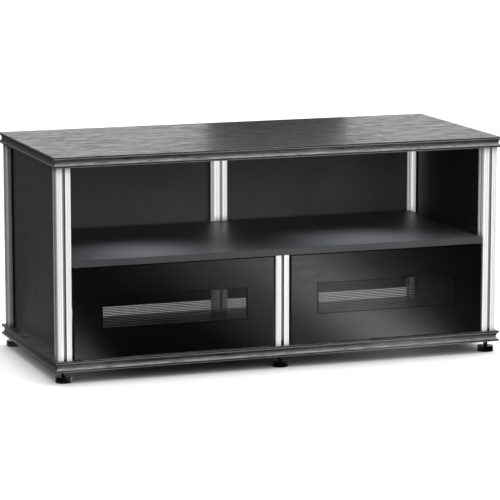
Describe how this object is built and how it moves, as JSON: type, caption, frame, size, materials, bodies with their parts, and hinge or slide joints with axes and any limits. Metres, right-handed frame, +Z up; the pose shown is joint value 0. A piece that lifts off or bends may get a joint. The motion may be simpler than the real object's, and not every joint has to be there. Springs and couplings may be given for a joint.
{
  "type": "media cabinet",
  "caption": "Low black ash media cabinet with moulded top and base, slotted aluminium posts, open shelf bay, mesh-window doors on pivots and levelling feet.",
  "frame": {"origin": "on the floor, under the middle of the cabinet", "axes": "+X along the cabinet, to the right of a person facing the doors; +Y from the doors to the back; +Z up. The doors face -Y."},
  "size_m": [1.124, 0.498, 0.531],
  "materials": {
    "panel_wood": "black-stained open-pore ash veneer, satin lacquer",
    "door_wood": "black-stained fine-grained veneer, satin lacquer",
    "side_wood": "black-stained veneer, upright grain, satin lacquer",
    "shelf_board": "smooth black laminate on particle board, satin",
    "edge_band": "dark grey edge band, satin",
    "back_board": "black-faced hardboard, matte",
    "post_aluminium": "clear satin anodised extrusion",
    "gasket_rubber": "black rubber, matte",
    "zinc_steel": "bright zinc plated",
    "black_steel": "black oxide and paint, satin",
    "key_zinc": "die-cast zinc",
    "brass": "plain brass",
    "black_plastic": "black nylon",
    "mesh_steel": "black powder coat on perforated steel",
    "foot_rubber": "black moulded nylon, satin"
  },
  "bodies": {
    "root": {"top_panel": "panel_wood", "bottom_panel": "panel_wood", "shelf": "shelf_board", "shelf_edge_band": "edge_band", "post_front_left": "post_aluminium", "post_front_centre": "post_aluminium", "post_front_right": "post_aluminium", "post_rear_left": "post_aluminium", "post_rear_centre": "post_aluminium", "post_rear_right": "post_aluminium", "side_panel_left": "side_wood", "side_panel_right": "side_wood", "side_gaskets_left": "gasket_rubber", "side_gaskets_right": "gasket_rubber", "back_panel_left": "back_board", "back_panel_right": "back_board", "back_panel_screws": "zinc_steel", "back_panel_washers": "zinc_steel", "back_slot_nuts": "zinc_steel", "tie_rods": "zinc_steel", "short_tie_rod": "zinc_steel", "sleeve_nuts": "zinc_steel", "bracket_slot_nuts": "zinc_steel", "shelf_key_screws": "zinc_steel", "latch_screws": "zinc_steel", "top_inserts": "brass", "shelf_insert": "brass", "shelf_brackets": "black_steel", "bracket_screws": "black_steel", "bracket_wood_screws": "black_steel", "shelf_keys": "key_zinc", "slot_plugs": "black_plastic", "pivot_bushes": "black_plastic", "latch_bodies": "black_plastic"},
    "left_door": {"door_panel_left": "door_wood", "door_mesh_left": "mesh_steel", "mesh_retainer_left": "black_plastic", "mesh_screws_left": "black_steel", "pivot_pins_left": "zinc_steel", "strike_plate_left": "zinc_steel"},
    "right_door": {"door_panel_right": "door_wood", "door_mesh_right": "mesh_steel", "mesh_retainer_right": "black_plastic", "mesh_screws_right": "black_steel", "pivot_pins_right": "zinc_steel", "strike_plate_right": "zinc_steel"},
    "left_latch_plunger": {"latch_plunger_left": "zinc_steel"},
    "right_latch_plunger": {"latch_plunger_right": "zinc_steel"},
    "foot_front_left": {"foot_pad_front_left": "foot_rubber", "foot_stud_front_left": "black_steel"},
    "foot_front_centre": {"foot_pad_front_centre": "foot_rubber", "foot_stud_front_centre": "black_steel"},
    "foot_front_right": {"foot_pad_front_right": "foot_rubber", "foot_stud_front_right": "black_steel"},
    "foot_rear_left": {"foot_pad_rear_left": "foot_rubber", "foot_stud_rear_left": "black_steel"},
    "foot_rear_centre": {"foot_pad_rear_centre": "foot_rubber", "foot_stud_rear_centre": "black_steel"},
    "foot_rear_right": {"foot_pad_rear_right": "foot_rubber", "foot_stud_rear_right": "black_steel"}
  },
  "joints": [
    {"name": "left_door_hinge", "type": "hinge", "parent": "root", "child": "left_door", "pos_m": [-0.50725, -0.234, 0.1617], "axis": [0, 0, -1], "range_deg": [0, 110]},
    {"name": "right_door_hinge", "type": "hinge", "parent": "root", "child": "right_door", "pos_m": [0.50725, -0.234, 0.1617], "axis": [0, 0, 1], "range_deg": [0, 110]},
    {"name": "left_latch_push", "type": "slide", "parent": "root", "child": "left_latch_plunger", "axis": [0, 1, 0], "range_m": [0, 0.006], "stiffness_N_per_m": 250, "springref_m": -0.008},
    {"name": "right_latch_push", "type": "slide", "parent": "root", "child": "right_latch_plunger", "axis": [0, 1, 0], "range_m": [0, 0.006], "stiffness_N_per_m": 250, "springref_m": -0.008},
    {"name": "front_left_foot_levelling", "type": "slide", "parent": "root", "child": "foot_front_left", "axis": [0, 0, 1], "range_m": [-0.004, 0.006]},
    {"name": "front_centre_foot_levelling", "type": "slide", "parent": "root", "child": "foot_front_centre", "axis": [0, 0, 1], "range_m": [-0.004, 0.006]},
    {"name": "front_right_foot_levelling", "type": "slide", "parent": "root", "child": "foot_front_right", "axis": [0, 0, 1], "range_m": [-0.004, 0.006]},
    {"name": "rear_left_foot_levelling", "type": "slide", "parent": "root", "child": "foot_rear_left", "axis": [0, 0, 1], "range_m": [-0.004, 0.006]},
    {"name": "rear_centre_foot_levelling", "type": "slide", "parent": "root", "child": "foot_rear_centre", "axis": [0, 0, 1], "range_m": [-0.004, 0.006]},
    {"name": "rear_right_foot_levelling", "type": "slide", "parent": "root", "child": "foot_rear_right", "axis": [0, 0, 1], "range_m": [-0.004, 0.006]}
  ]
}
